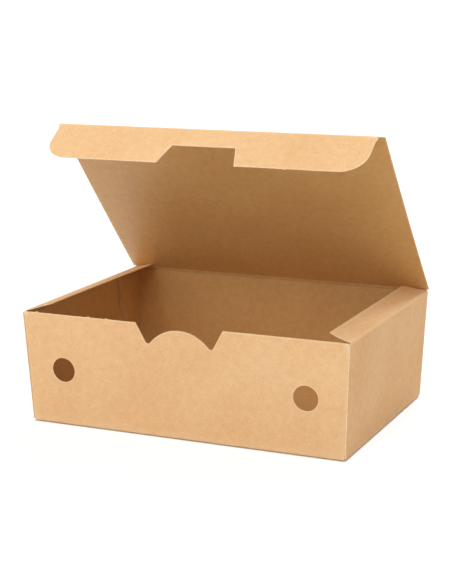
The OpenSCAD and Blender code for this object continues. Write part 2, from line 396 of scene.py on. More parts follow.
class Walls:
    """The tray's planes, and the flat cut that folds into them."""

    def __init__(self):
        tray = tray_sizes()
        self.tray = tray
        self.mid = tray.board / 2
        self.foot_z = self.mid + tray.foot_lift
        lean = math.atan(tray.flare / (tray.tray_h - self.foot_z))
        self.sin, self.cos = math.sin(lean), math.cos(lean)
        self.half_w, self.half_d = tray.base_w / 2 - self.mid, tray.base_d / 2 - self.mid
        self.half_front = self.half_w - tray.tab_inset / self.cos
        self.foot_turn = math.pi / 2 - lean
        self.foot_setback = tray.crease_r * math.tan(self.foot_turn / 2)
        self.foot_band = tray.crease_r * self.foot_turn
        self.base_x, self.base_y = self.half_w - self.foot_setback, self.half_d - self.foot_setback
        # Heights up the walls, the lid's fold and the dust flaps' folds
        self.side_fold_z = tray.tray_h - tray.side_drop
        self.front_top = self.slope(tray.tray_h - tray.front_drop)
        self.side_top = self.slope(self.side_fold_z)
        self.back_top = self.slope(tray.tray_h)
        self.hinge_y = self.half_d + self.back_top * self.sin
        self.hinge = np.array([0, self.hinge_y, tray.tray_h])
        self.hinge_x = self.half_front + self.back_top * self.sin
        self.dust_x = self.half_w + self.side_top * self.sin
        self.flat_hinge = self.base_y + self.flat(self.back_top)
        self.flat_dust = self.base_x + self.flat(self.side_top)
        # Corner folds: along the corner, out from the front wall, into the glue tab
        self.stretch = math.sqrt(1 + self.sin**2)
        self.along = np.array([self.sin, -self.sin, self.cos]) / self.stretch
        self.out = np.array([1, self.sin**2, -self.sin * self.cos]) / self.stretch
        self.back = np.array([self.sin**2, 1, self.sin * self.cos]) / self.stretch
        self.corner_turn = math.acos(self.out @ self.back)
        cos, sin = math.cos(self.corner_turn), math.sin(self.corner_turn)
        self.inward = (self.back - cos * self.out) / sin
        self.corner_setback = tray.corner_r * math.tan(self.corner_turn / 2)
        self.corner_band = tray.corner_r * self.corner_turn
        self.side_out = np.array([self.cos, 0, -self.sin])

    def slope(self, z):
        """Distance up a wall, from the fold at its foot, of a height above the table."""
        return (z - self.foot_z) / self.cos

    def flat(self, y):
        """Distance in the flat cut, beyond the base's tangent line, of a point up a wall."""
        return self.foot_band + y - self.foot_setback

    def at_fold(self, uv, reach):
        """Which points of the flat cut lie where the lid or a dust flap joins on."""
        side = self.base_x + self.flat(self.side_top - reach)
        back = self.base_y + self.flat(self.back_top - reach)
        return (np.abs(uv[:, 0]) > side - SLACK) | (uv[:, 1] > back - SLACK)

    def bow(self, x, y, half, top):
        """How far a wall bulges at a point of its plane."""
        across = np.clip(1 - (x / (half + y * self.sin)) ** 2, 0, 1)
        return self.tray.wall_bow * across * np.sin(math.pi * np.clip(y / top, 0, 1))

    def fold(self, uv):
        """Folds points of the flat cut. Gives their places and how close each is to a crease."""
        place = np.zeros((len(uv), 3))
        rest = np.clip(1 - np.abs(uv) / (self.half_w, self.half_d), 0, 1).min(1)
        place[:, :2] = uv
        place[:, 2] = self.foot_z - self.tray.foot_lift * np.clip(rest / BASE_SAG, 0, 1) ** 0.5
        beyond_x, beyond_y = (np.abs(uv) - (self.base_x, self.base_y)).T
        side_end = self.half_d + WALL_ROOM + np.maximum(beyond_x, 0) * self.sin
        on_side = (beyond_x > TINY) & (np.abs(uv[:, 1]) < side_end)
        on_end = (beyond_y > TINY) & ~on_side
        crease = fading(-np.maximum(beyond_x, beyond_y), FADE)
        for turn in range(4):
            cos, sin = round(math.cos(turn * math.pi / 2)), round(math.sin(turn * math.pi / 2))
            local = uv @ np.array([[cos, -sin], [sin, cos]])
            mine = (on_side if turn % 2 else on_end) & (-local[:, 1] > 0)
            at, near = self.wall(turn % 2, local[mine, 0], -local[mine, 1])
            place[mine] = at @ np.array([[cos, sin, 0], [-sin, cos, 0], [0, 0, 1]])
            crease[mine] = near
        return place, crease

    def wall(self, is_side, x, away):
        """Folds one wall up, as seen with the wall at the front, with its glue tabs."""
        tray = self.tray
        if is_side:
            run, base, half, top = self.half_w, self.base_x, self.half_d, self.side_top
        else:
            run, base, half, top = self.half_d, self.base_y, self.half_front, self.back_top
        beyond = away - base
        y = beyond - self.foot_band + self.foot_setback
        on_arc = beyond < self.foot_band
        phi = np.clip(beyond / tray.crease_r, 0, self.foot_turn)
        # The pale line at the foot: partly the worn fold, partly a painted reflection of the white
        # floor
        near = np.clip(FOOT_WEAR_AND_SHEEN - (beyond - self.foot_band) / FOOT_SHEEN_WIDTH, 0, 1)
        bulge = self.bow(x, y, half, top)
        turned_y = base + tray.crease_r * np.sin(phi)
        turned_z = self.foot_z + tray.crease_r * (1 - np.cos(phi))
        wall_y = run + y * self.sin + bulge * self.cos
        wall_z = self.foot_z + y * self.cos - bulge * self.sin
        at = [x, -np.where(on_arc, turned_y, wall_y), np.where(on_arc, turned_z, wall_z)]
        at = np.stack(at, 1)
        if is_side:
            return at, near
        # Past the corner fold the sheet turns back along the side wall
        past = (np.abs(x) - self.half_front - y * self.sin) / self.stretch + self.corner_setback
        up = ((np.abs(x) - self.half_front) * self.sin + y) / self.stretch
        phi = np.clip(past / tray.corner_r, 0, self.corner_turn)[:, None]
        into = np.maximum(past - self.corner_band, 0) + self.corner_setback
        foot = np.array([self.half_front, -self.half_d, self.foot_z])
        corner = foot + up[:, None] * self.along
        arc_at = corner - self.corner_setback * self.out + tray.corner_r * (
            self.out * np.sin(phi) + self.inward * (1 - np.cos(phi))
        )
        level = -self.half_d + (into - up * self.sin) / self.stretch
        height = (up + into * self.sin) / self.stretch
        bulge = self.bow(level, height, self.half_d, self.side_top)
        lift = tray.tab_lift * np.clip(into / tray.tab_w, 0, 1) ** 2
        tab_at = corner + into[:, None] * self.back + (bulge - lift)[:, None] * self.side_out
        bent = np.where((past > self.corner_band)[:, None], tab_at, arc_at)
        bent[:, 0] *= np.where(x < 0, -1.0, 1.0)
        at = np.where(((past > TINY) & ~on_arc)[:, None], bent, at)
        close = fading(np.where(past < 0, -past, past - self.corner_band), FADE)
        return at, np.maximum(near, np.where(y > 0, close, 0))


def notch_half(tray):
    """Right half of the finger notch, from the front edge down to the tongue's middle."""
    tongue = np.array([0, -tray.tongue_drop - tray.tongue_r])
    down = np.array([-math.sin(tray.notch_lean), -math.cos(tray.notch_lean)])
    across = np.array([-math.cos(tray.notch_lean), math.sin(tray.notch_lean)])
    start = np.array([tray.notch_w / 2, 0]) + tray.notch_round * across - tongue
    b, c = start @ down, start @ start - (tray.tongue_r + tray.notch_round) ** 2
    bottom = tongue + start + (-b - math.sqrt(b * b - c)) * down
    lean = math.atan2(*(bottom - tongue)[::-1])
    return (
        [(tray.notch_w / 2, 0)]
        + arc(bottom, tray.notch_round, -tray.notch_lean, lean - math.pi)
        + arc(tongue, tray.tongue_r, lean, math.pi / 2, 16)
    )


def crease_lines(band):
    """Where the mesh has lines across a crease: over its bend, and where its pale line ends."""
    return [*np.linspace(0, band, CREASE_LINES), band + FADE, -FADE]


def tray_cut(walls, flaps):
    """The tray's flat cut: its outline, vents, creases, and the edges of its glue tabs."""
    tray = walls.tray
    mid_corner = walls.corner_band / 2
    tab_top = walls.side_top - tray.tab_drop
    foot_up, top_up = tray.tab_foot * walls.stretch, tab_top * walls.stretch

    def corner(up, past):
        """A point of the flat cut from its place at a corner fold."""
        over = past - walls.corner_setback
        cos, sin = 1 / walls.stretch, walls.sin / walls.stretch
        x = walls.half_front + up * sin + over * cos
        return (x, -(walls.base_y + walls.flat(up * cos - over * sin)))

    def tab_point(height):
        """A point of a glue tab's free edge, at a height up the side wall's plane."""
        level = tray.tab_w - tab_top * walls.sin
        up = (level * -walls.sin + height) / walls.stretch
        into = (level + height * walls.sin) / walls.stretch
        return corner(up, into - walls.corner_setback + walls.corner_band)

    rim = [
        corner(foot_up, walls.corner_band),
        tab_point(tab_top - tray.tab_edge),
        tab_point(tab_top),
        corner(top_up, walls.corner_band),
    ]

    def side_edge(y, toward):
        """A point on the side wall's upright edge, at the front or the back."""
        return (walls.base_x + walls.flat(y), toward * (walls.half_d + walls.mid + y * walls.sin))

    def quarter(toward, fold_end, wall_top, side_cut):
        """Right edge of the cut, from the dust flap's fold to the front or back wall's top."""
        top_x = walls.half_front + wall_top * walls.sin
        top_x += (mid_corner - walls.corner_setback) * walls.stretch
        side = [
            (walls.base_x + walls.flat(walls.side_top - flaps.reach), toward * fold_end),
            (walls.base_x + walls.flat(side_cut), toward * fold_end),
            side_edge(side_cut, toward),
            side_edge(walls.foot_setback + FOOT_START, toward),
            (walls.base_x + walls.foot_band, toward * (walls.base_y - GAP)),
            (walls.base_x, toward * (walls.base_y - GAP)),
            (walls.base_x - GAP, toward * walls.base_y),
        ]
        tab = [
            (walls.base_x - GAP, -(walls.base_y + walls.foot_band)),
            corner(CORNER_FOOT, mid_corner),
            corner(foot_up, mid_corner),
            *rim,
            corner(top_up, mid_corner),
            (top_x, -(walls.base_y + walls.flat(wall_top))),
        ]
        return side + [(x, y * -toward) for x, y in tab]

    fold_front, fold_back = walls.hinge_y - flaps.dust_front, walls.hinge_y - flaps.dust_back
    back_top = walls.back_top - flaps.reach
    front = quarter(-1, fold_front, walls.front_top, walls.side_top - END_SHOULDER)
    back = quarter(1, fold_back, back_top, walls.back_top - SHOULDER)
    front_y = -(walls.base_y + walls.flat(walls.front_top))
    edge_l, edge_r = (-front[-1][0], front_y), (-tray.notch_w / 2, front_y)
    right = back[::-1] + front + [(x, front_y - y) for x, y in notch_half(tray)]
    left = mirrored(right)
    at = left.index(min(left, key=lambda p: math.dist(p, edge_r)))
    outline = right + left[:at] + nicked(edge_r, edge_l, FRONT_TAGS) + left[at + 1:]
    vent_y = -(walls.base_y + walls.flat(walls.slope(tray.vent_z)))
    vents = [
        arc((side * tray.vent_span / 2, vent_y), tray.vent_d / 2, 0, 2 * math.pi, 48)[:-1]
        for side in (-1, 1)
    ]
    folds = []
    for beyond in crease_lines(walls.foot_band):
        x, y = walls.base_x + beyond, walls.base_y + beyond
        for side in (-1, 1):
            folds.append([(side * x, -walls.base_y + GAP), (side * x, walls.base_y - GAP)])
            folds.append([(-walls.base_x + GAP, side * y), (walls.base_x - GAP, side * y)])
    for past in crease_lines(walls.corner_band):
        if past <= mid_corner + TINY:
            low, ends = CORNER_FOOT, (walls.front_top * walls.stretch, back_top * walls.stretch)
        else:
            low, ends = foot_up, (top_up, top_up)
        for side in (-1, 1):
            for toward, high in zip((1, -1), ends):
                line = [corner(low, past), corner(high - HAIR, past)]
                folds.append([(side * x, toward * y) for x, y in line])
    tabs = [
        [(i * x, j * y) for x, y in (rim if j < 0 else rim[:3])] for i in (-1, 1) for j in (-1, 1)
    ]
    return outline, vents, folds, tabs


# Node trees


def set_inputs(tree, node, inputs):
    """Sets or links a node's inputs. A node given for one stands for its first output."""
    for key, value in inputs.items():
        if isinstance(value, bpy.types.Node):
            value = value.outputs[0]
        if isinstance(value, bpy.types.NodeSocket):
            tree.links.new(value, node.inputs[key])
        else:
            node.inputs[key].default_value = value


def add_node(tree, kind, inputs, **settings):
    """A node with its settings and its inputs."""
    node = tree.nodes.new(kind)
    for key, value in settings.items():
        setattr(node, key, value)
    set_inputs(tree, node, inputs)
    return node


def math_node(tree, operation, *values):
    """A Math node on nodes, sockets or numbers."""
    return add_node(tree, "ShaderNodeMath", dict(enumerate(values)), operation=operation)


def vector_math(tree, operation, inputs):
    """A Vector Math node."""
    return add_node(tree, "ShaderNodeVectorMath", inputs, operation=operation)


def mixed(tree, factor, a, b):
    """A colour between two others."""
    inputs = {"Factor": factor, "A": a, "B": b}
    return add_node(tree, "ShaderNodeMix", inputs, data_type="RGBA").outputs["Result"]


def new_tree(name, kind, inputs, outputs):
    """A node tree with named inputs and outputs: the tree, its inputs and its last node."""
    tree = bpy.data.node_groups.new(name, kind)
    for way, sockets in (("INPUT", inputs), ("OUTPUT", outputs)):
        for label, value_kind, *value in sockets:
            socket = tree.interface.new_socket(
                name=label, in_out=way, socket_type="NodeSocket" + value_kind
            )
            if value:
                socket.default_value = value[0]
    return tree, tree.nodes.new("NodeGroupInput").outputs, tree.nodes.new("NodeGroupOutput")


def board_tree(name, *inputs):
    """A Geometry Nodes tree with its own inputs and then the board's three materials."""
    faces = [(face, "Material") for face in FACES]
    return new_tree(name, "GeometryNodeTree", [*inputs, *faces], [("Geometry", "Geometry")])


def closed_shell(tree, face, run):
    """A face drawn out to a closed shell: the shell, and which of its faces are top and side."""
    inputs = {"Mesh": face, "Individual": False, **run}
    extrude = add_node(tree, "GeometryNodeExtrudeMesh", inputs, mode="FACES")
    flip = add_node(tree, "GeometryNodeFlipFaces", {"Mesh": face})
    join = tree.nodes.new("GeometryNodeJoinGeometry")
    for part in (extrude, flip):
        tree.links.new(part.outputs["Mesh"], join.inputs["Geometry"])
    return join, extrude.outputs["Top"], extrude.outputs["Side"]


def finish_tree(tree, source, out, shell, outer, cut):
    """Ends a board tree: shading, realize, then the inner face, the outer face and the cuts."""
    merge = add_node(tree, "GeometryNodeMergeByDistance", {"Geometry": shell, "Distance": WELD})
    bend = tree.nodes.new("GeometryNodeInputMeshEdgeAngle").outputs["Unsigned Angle"]
    sharp = add_node(
        tree, "FunctionNodeCompare", {"A": bend, "B": SHARP}, operation="GREATER_THAN"
    )
    edges = {"Geometry": merge, "Selection": sharp, "Shade Smooth": False}
    corner = add_node(tree, "GeometryNodeSetShadeSmooth", edges, domain="EDGE")
    smooth = add_node(tree, "GeometryNodeSetShadeSmooth", {"Geometry": corner})
    last = add_node(tree, "GeometryNodeRealizeInstances", {"Geometry": smooth})
    for face, where in zip(FACES, (True, outer, cut)):
        paint = {"Geometry": last, "Selection": where, "Material": source[face]}
        last = add_node(tree, "GeometryNodeSetMaterial", paint)
    set_inputs(tree, out, {"Geometry": last})
    return tree


def logic(tree, operation, *values):
    """A yes or no from others."""
    return add_node(
        tree, "FunctionNodeBooleanMath", dict(enumerate(values)), operation=operation
    )


def sheet_tree():
    """Gives a folded sheet the board's thickness, half to each side."""
    tree, source, out = board_tree(
        "Board thickness", ("Sheet", "Geometry"), ("Thickness", "Float", 0.0005)
    )
    half = math_node(tree, "MULTIPLY", source["Thickness"], -0.5)
    normal = tree.nodes.new("GeometryNodeInputNormal")
    shift = vector_math(tree, "SCALE", {0: normal, "Scale": half})
    sheet = {"Geometry": source["Sheet"], "Offset": shift}
    moved = add_node(tree, "GeometryNodeSetPosition", sheet)
    shell, top, side = closed_shell(tree, moved, {"Offset Scale": source["Thickness"]})
    outer = logic(tree, "NOT", logic(tree, "OR", top, side))
    return finish_tree(tree, source, out, shell, outer, side)


def crease_tree():
    """Runs the cross-section of a crease along its fold."""
    tree, source, out = board_tree(
        "Crease along a fold", ("Section", "Geometry"), ("Along", "Vector", (0.2, 0, 0))
    )
    run = {"Offset": source["Along"], "Offset Scale": 1.0}
    shell, _, side = closed_shell(tree, source["Section"], run)
    inner = add_node(tree, "GeometryNodeInputNamedAttribute", {"Name": "inner"})
    outside = {"A": inner.outputs["Attribute"], "B": INNER_SHARE}
    outside = add_node(tree, "FunctionNodeCompare", outside, operation="LESS_THAN")
    outer, cut = logic(tree, "AND", side, outside), logic(tree, "NOT", side)
    return finish_tree(tree, source, out, shell, outer, cut)


# Material


def noise(tree, vector, scale, detail, rough):
    """A noise texture on a vector."""
    inputs = {"Vector": vector, "Scale": scale, "Detail": detail, "Roughness": rough}
    return add_node(tree, "ShaderNodeTexNoise", inputs).outputs["Fac"]


def streaks(tree, vector, scale, turn, detail, rough):
    """A noise stretched and turned, so that it runs in streaks."""
    inputs = {"Vector": vector, "Scale": scale, "Rotation": (0, 0, turn)}
    return noise(tree, add_node(tree, "ShaderNodeMapping", inputs), 1.0, detail, rough)


def kraft_group():
    """Kraft board's colour and relief: patches, fibres, flecks, pale creases and cuts (partly
    painted highlight), and painted shadow at glue tabs.
    """
    shares = ("Clouds", "Fibres", "Flecks", "Crease", "Crease wear", "Rim", "Rim wear", "Glue",
              "Glue shade")
    tree, source, out = new_tree(
        "Kraft board",
        "ShaderNodeTree",
        [("Vector", "Vector"), ("Colour", "Color"), ("Pale colour", "Color")]
        + [(name, "Float") for name in shares],
        [("Colour", "Color"), ("Height", "Float")],
    )

    def do(operation, *values):
        """A Math node of this group."""
        return math_node(tree, operation, *values)

    vector = source["Vector"]
    patches = noise(tree, vector, 210, 3.0, 0.6)
    broad = noise(tree, vector, 22, 1.0, 0.5)
    long_fibres = streaks(tree, vector, (520, 2300, 1), 0.12, 3.0, 0.65)
    cross_fibres = streaks(tree, vector, (2600, 640, 1), -0.2, 2.0, 0.6)
    curls = streaks(tree, vector, (900, 900, 1), 0.7, 4.0, 0.75)
    fleck = streaks(tree, vector, (700, 1500, 1), 0.5, 1.0, 0.4)
    fleck = add_node(
        tree, "ShaderNodeMapRange", {"Value": fleck, "From Min": 0.66, "From Max": 0.80}
    )
    # Patches and fibres are centred on nothing, and the tint on 1
    soft = do("SUBTRACT", do("ADD", patches, do("MULTIPLY", broad, 0.6)), 0.8)
    fibres = do("SUBTRACT", do("ADD", do("ADD", long_fibres, cross_fibres), curls), 1.5)
    tint = do("MULTIPLY_ADD", fibres, source["Fibres"], do("MULTIPLY", soft, source["Clouds"]))
    tint = do("SUBTRACT", tint, do("MULTIPLY", fleck, source["Flecks"]))
    tint = do("MULTIPLY_ADD", tint, 2.0, 1.0)
    # The grain, in colour, and the painted shadow along the glue tabs' free edges and under the
    # lid's fold
    plain = [1 - part for part in GRAIN]
    grain = vector_math(tree, "MULTIPLY_ADD", {0: tint, 1: GRAIN, 2: plain})
    drift = mixed(tree, broad, (*WARM, 1), (*COOL, 1))
    body = vector_math(tree, "MULTIPLY", {0: source["Colour"], 1: drift})
    body = vector_math(tree, "MULTIPLY", {0: grain, 1: body})
    dark = do("MULTIPLY", source["Glue"], source["Glue shade"])
    body = vector_math(tree, "SCALE", {0: body, "Scale": do("SUBTRACT", 1.0, dark)})
    # The pale core, which shows where the board is creased or cut, partly paler fibres and partly a
    # painted highlight; at a wall's foot, partly a painted reflection of the floor
    wear = do("MULTIPLY", source["Crease"], source["Crease wear"])
    wear = do("MULTIPLY_ADD", source["Rim"], source["Rim wear"], wear)
    worn_and_lit = mixed(tree, wear, body, source["Pale colour"])
    set_inputs(tree, out, {"Colour": worn_and_lit, "Height": fibres})
    return tree


def new_material(name):
    """A material, and its node tree."""
    material = bpy.data.materials.new(name)
    material.use_nodes = True
    return material, material.node_tree


def stored(tree, name, part="Fac"):
    """A value kept at the points of the mesh."""
    return add_node(tree, "ShaderNodeAttribute", {}, attribute_name=name).outputs[part]


def board_material(name, base, fibres, worn_and_lit, rims, tab_shadow, gloss, rough):
    """An uncoated board, in its colour, with its fibres in relief."""
    look = bpy.context.scene.takeaway_kraft
    material, tree = new_material(name)
    inputs = {
        "Vector": stored(tree, "blank", "Vector"),
        "Colour": (*base, 1),
        "Pale colour": (*look.edge, 1),
        "Clouds": look.clouds * fibres,
        "Fibres": look.fibres * fibres,
        "Flecks": look.flecks,
        "Crease": stored(tree, "crease"),
        "Crease wear": worn_and_lit,
        "Rim": stored(tree, "rim"),
        "Rim wear": rims,
        # Painted shadow along the glue tabs' free edges and just under the lid's fold
        "Glue": stored(tree, "glue"),
        "Glue shade": tab_shadow,
    }
    group = bpy.data.node_groups.get("Kraft board") or kraft_group()
    kraft = add_node(tree, "ShaderNodeGroup", inputs, node_tree=group)
    relief = {"Strength": look.bump, "Distance": RELIEF, "Height": kraft.outputs["Height"]}
    bump = add_node(tree, "ShaderNodeBump", relief)
    surface = {"Base Color": kraft, "Roughness": rough, "Specular IOR Level": gloss}
    set_inputs(tree, tree.nodes["Principled BSDF"], {**surface, "Normal": bump})
    return material


def board_materials():
    """The board's three materials, by the names of the trees' inputs."""
    look = bpy.context.scene.takeaway_kraft
    # Colour (the inner face's darkened as painted shade for the inside of the box), strength of
    # the fibres, paler at creases and paler at cuts (partly painted highlight), darker along the
    # glue tabs' edges and under the lid's fold (painted shadow), gloss and roughness
    kinds = (
        (look.inner, 1.35, look.inner_crease, look.inner_rim, look.glue, look.inner_gloss,
         look.inner_rough),
        (look.board, 1.0, look.crease, look.rim, 0.0, look.gloss, look.rough),
        (look.edge, 1.6, look.crease, 0.0, 0.0, look.gloss, look.rough),
    )
    return {
        name: bpy.data.materials.get(name) or board_material(name, *kind)
        for name, kind in zip(FACES, kinds)
    }


# Meshes


def new_mesh(name, verts, faces):
    """An object with a plain mesh, at the origin."""
    mesh = bpy.data.meshes.new(name)
    mesh.from_pydata([tuple(v) for v in verts], [], [tuple(int(i) for i in f) for f in faces])
    mesh.validate()
    obj = bpy.data.objects.new(name, mesh)
    bpy.context.scene.collection.objects.link(obj)
    return obj


def set_values(mesh, **values):
    """Keeps numbers or vectors at the points of a mesh, each under its name."""
    for name, value in values.items():
        value = np.asarray(value, np.float32)
        kind, key = ("FLOAT_VECTOR", "vector") if value.ndim > 1 else ("FLOAT", "value")
        mesh.attributes.new(name, kind, "POINT").data.foreach_set(key, value.ravel())


def through_tree(obj, tree, **values):
    """Runs an object through a node tree, and leaves a plain mesh in its place."""
    materials = board_materials()
    obj.data.materials.append(materials["Outer face"])
    values.update(materials)
    modifier = obj.modifiers.new(tree.name, "NODES")
    modifier.node_group = tree
    for item in tree.interface.items_tree:
        if item.item_type == "SOCKET" and item.in_out == "INPUT" and item.name in values:
            modifier[item.identifier] = values[item.name]
    obj.update_tag()
    bpy.context.view_layer.update()
    graph = bpy.context.evaluated_depsgraph_get()
    mesh = bpy.data.meshes.new_from_object(
        obj.evaluated_get(graph), preserve_all_data_layers=True, depsgraph=graph
    )
    obj.modifiers.remove(modifier)
    old = obj.data
    obj.data = mesh
    bpy.data.meshes.remove(old)
    mesh.name = obj.name
    if not len(mesh.polygons):
        raise RuntimeError(f"{obj.name} came out of its node tree empty")


def board_piece(name, body, verts, faces, blank, crease, **values):
    """A piece of board from its folded sheet, riding on a body in its node's place."""
    obj = new_mesh(name, verts, faces)
    set_values(obj.data, blank=blank, crease=crease, **values)
    tree = bpy.data.node_groups.get("Board thickness") or sheet_tree()
    through_tree(obj, tree, Thickness=tray_sizes().board)
    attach(obj, body)
    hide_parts(body)


def level_line(half, y):
    """A line across the flat cut."""
    return [(-half, y), (half, y)]


def on_blank(uv, shift=(0.0, 0.0)):
    """Places in the flat cut, for the pattern of fibres."""
    return np.pad(uv + np.array(shift), ((0, 0), (0, 1)))


# Pieces


class TAKEAWAY_OT_tray(bpy.types.Operator):
    """Cut and fold the tray: base, walls and glue tabs in one sheet"""

    bl_idname = "takeaway.tray"
    bl_label = "Fold the tray"

    def execute(self, context):
        flaps, walls = flap_sizes(), Walls()
        outline, vents, folds, tabs = tray_cut(walls, flaps)
        folds += [inset(tab, FADE) for tab in tabs]
        uv, faces, rim = cut_sheet(outline, vents, folds)
        verts, crease = walls.fold(uv)
        # Painted shadow for the inner face: a dark line along each glue tab's free edge, and a band
        # just under the lid's fold, below its rib
        starts = [p for tab in tabs for p in tab[:-1]]
        ends = [p for tab in tabs for p in tab[1:]]
        fold_shadow = SCORE_SHADE * fading(uv[:, 1].max() - uv[:, 1], RIM)
        glue = np.maximum(fading(distance(uv, starts, ends), TAB_SHADOW_LINE), fold_shadow)
        rim *= 1 - walls.at_fold(uv, flaps.reach)
        board_piece("tray_board", "tray", verts, faces, on_blank(uv), crease, glue=glue, rim=rim)
        return {"FINISHED"}


def from_fold(at, tilt, x, s, z=0.0):
    """Places of points at a distance s from a fold along X, and z out of the plane."""
    cos, sin = math.cos(tilt), math.sin(tilt)
    return np.stack([x, at[1] - s * cos + z * sin, at[2] + s * sin + z * cos], 1)


def rising(tilt):
    """The way from a fold along X to the front, at an angle above level."""
    return np.array([0, -math.cos(tilt), math.sin(tilt)])


def tuck_axis(walls, flaps):
    """Middle of the tuck flap's fold, at the lid's front edge."""
    return walls.hinge + flaps.lid_l * rising(flaps.lid_open)


class TAKEAWAY_OT_lid(bpy.types.Operator):
    """Cut the lid and set it at its angle"""

    bl_idname = "takeaway.lid"
    bl_label = "Cut the lid"

    def execute(self, context):
        flaps, walls = flap_sizes(), Walls()
        near, far, end = flaps.reach, flaps.lid_l - flaps.reach, flaps.lid_l - END_SHOULDER
        back_half, front_half = walls.hinge_x, flaps.tuck_half_w + flaps.tuck_ear
        half = flaps.lid_half_w
        right, left = (
            [(back_half, near), (back_half, SHOULDER), (half, SHOULDER), (half, end)]
            + [(front_half + side * (flaps.tuck_skew - flaps.lid_skew), s) for s in (end, far)]
            for side in (1, -1)
        )
        folds = [level_line(back_half, near + FADE), level_line(front_half - FOLD_END, far - FADE)]
        xs, faces, rim = cut_sheet(right + mirrored(left), (), folds)
        x, s = xs.T
        along = np.clip(s / flaps.lid_l, 0, 1)
        bulge = flaps.lid_bow * np.clip(1 - (x / half) ** 2, 0, 1) * np.sin(math.pi * along)
        verts = from_fold(walls.hinge, flaps.lid_open, x + flaps.lid_skew * along**2, s, bulge)
        crease = np.clip(fading(s - near, FADE) + fading(far - s, FADE), 0, 1)
        blank = on_blank(xs, (0, walls.flat_hinge))
        board_piece("lid_board", "lid", verts, faces, blank, crease, rim=rim * (1 - crease))
        return {"FINISHED"}


class TAKEAWAY_OT_tuck(bpy.types.Operator):
    """Cut the tuck flap, with its rounded corners and its cut-out"""

    bl_idname = "takeaway.tuck"
    bl_label = "Cut the tuck flap"

    def execute(self, context):
        flaps, walls = flap_sizes(), Walls()
        half, depth = flaps.tuck_half_w, flaps.tuck_depth
        fold_half = half + flaps.tuck_ear
        slant = math.atan2(flaps.cutout_mouth / 2 - flaps.cutout_end / 2, flaps.cutout_depth)
        bend = flaps.cutout_r * math.tan(math.pi / 4 - slant / 2)
        round_at = (flaps.cutout_end / 2 - bend, depth - flaps.cutout_depth + flaps.cutout_r)
        right, left = (
            arc(round_at, flaps.cutout_r, -math.pi / 2, -slant, 5)
            + nicked((flaps.cutout_mouth / 2, depth), (half, depth), tags)
            + arc((half - flaps.tuck_r, depth - flaps.tuck_r), flaps.tuck_r, math.pi / 2, 0)
            + [(half, EAR[1]), (fold_half, EAR[0]), (fold_half, flaps.reach)]
            for tags in (TUCK_TAGS, ())
        )
        folds = [level_line(fold_half, flaps.reach + FADE)]
        xs, faces, rim = cut_sheet(right + mirrored(left), (), folds)
        x, s = xs.T
        tilt = flaps.lid_open - flaps.tuck_fold
        verts = from_fold(tuck_axis(walls, flaps), tilt, x + flaps.tuck_skew, s)
        crease = fading(s - flaps.reach, FADE)
        blank = on_blank(xs, (0, walls.flat_hinge + flaps.lid_l))
        board_piece("tuck_board", "tuck_flap", verts, faces, blank, crease,
                    rim=rim * (1 - crease))
        return {"FINISHED"}


def dust_outline(walls, flaps):
    """The right dust flap's outline: its fold lies along x = 0, and it reaches to -x."""
    front, tip = flaps.dust_front - walls.hinge_y, flaps.dust_tip - walls.hinge_y
    chord = np.array([flaps.dust_w, tip - front])
    span, lean = np.linalg.norm(chord), math.atan2(chord[1], chord[0])
    radius = (span**2 / 4 + flaps.dust_bulge**2) / 2 / flaps.dust_bulge
    half = math.asin(span / 2 / radius)
    centre = np.array([0, front]) + chord / 2
    centre = centre + (radius - flaps.dust_bulge) * np.array([-math.sin(lean), math.cos(lean)])
    edge = arc(centre, radius, lean - math.pi / 2 - half, lean - math.pi / 2 + half)
    points = [(flaps.reach, front + SHOULDER)] + [p for p in edge if p[0] > flaps.reach]
    points += [(flaps.dust_w, walls.hinge_y - flaps.dust_corner)]
    points += [(flaps.reach, walls.hinge_y - flaps.dust_back)]
    return [(-x, y) for x, y in points]


def dust_sides(flaps):
    """The name, the side and the tilt of each dust flap."""
    return (("right", 1, flaps.right_tilt), ("left", -1, flaps.left_tilt))


class TAKEAWAY_OT_dust(bpy.types.Operator):
    """Cut the two dust flaps and set each at its tilt"""

    bl_idname = "takeaway.dust"
    bl_label = "Cut the dust flaps"

    def execute(self, context):
        flaps, walls = flap_sizes(), Walls()
        outline = dust_outline(walls, flaps)
        low, high = outline[0][1], outline[-1][1]
        folds = [[(-flaps.reach - FADE, low), (-flaps.reach - FADE, high)]]
        xy, faces, rim = cut_sheet(outline, (), folds)
        x, y = xy.T
        crease = fading(-x - flaps.reach, FADE)
        forward = np.clip((high - y) / (high - low), 0, 1)
        for name, side, tilt in dust_sides(flaps):
            turn = tilt + (flaps.left_twist if side < 0 else 0) * forward**0.5
            cos, sin = np.cos(turn), np.sin(turn)
            verts = np.stack([side * (walls.dust_x + x * cos), y, walls.side_fold_z - x * sin], 1)
            blank = on_blank(xy * (-1, 1), (walls.flat_dust, 0)) * (side, 1, 1)
            wound = faces if side < 0 else faces[:, ::-1]
            board_piece(f"{name}_dust_board", f"{name}_dust_flap", verts, wound, blank, crease,
                        rim=rim * (1 - crease))
        return {"FINISHED"}


def crease_section(axis, before, after, rib, steps=12):
    """Cross-section of the board where it turns at a fold, with the fold at the origin."""
    reach, half = flap_sizes().reach, tray_sizes().board / 2
    t = np.linspace(0, 1, steps + 1)[:, None]
    middle = reach * ((1 - t) ** 2 * before + t**2 * after)
    run = reach * (-2 * (1 - t) * before + 2 * t * after)
    run /= np.linalg.norm(run, axis=1)[:, None]
    normal = np.cross(axis, run)
    if normal[steps // 2] @ (before + after) < 0:
        normal = -normal
    raised = rib * np.exp(-(((t - 0.5) / RIB_WIDE) ** 2))
    return np.vstack([middle + (half + raised) * normal, (middle - half * normal)[::-1]])


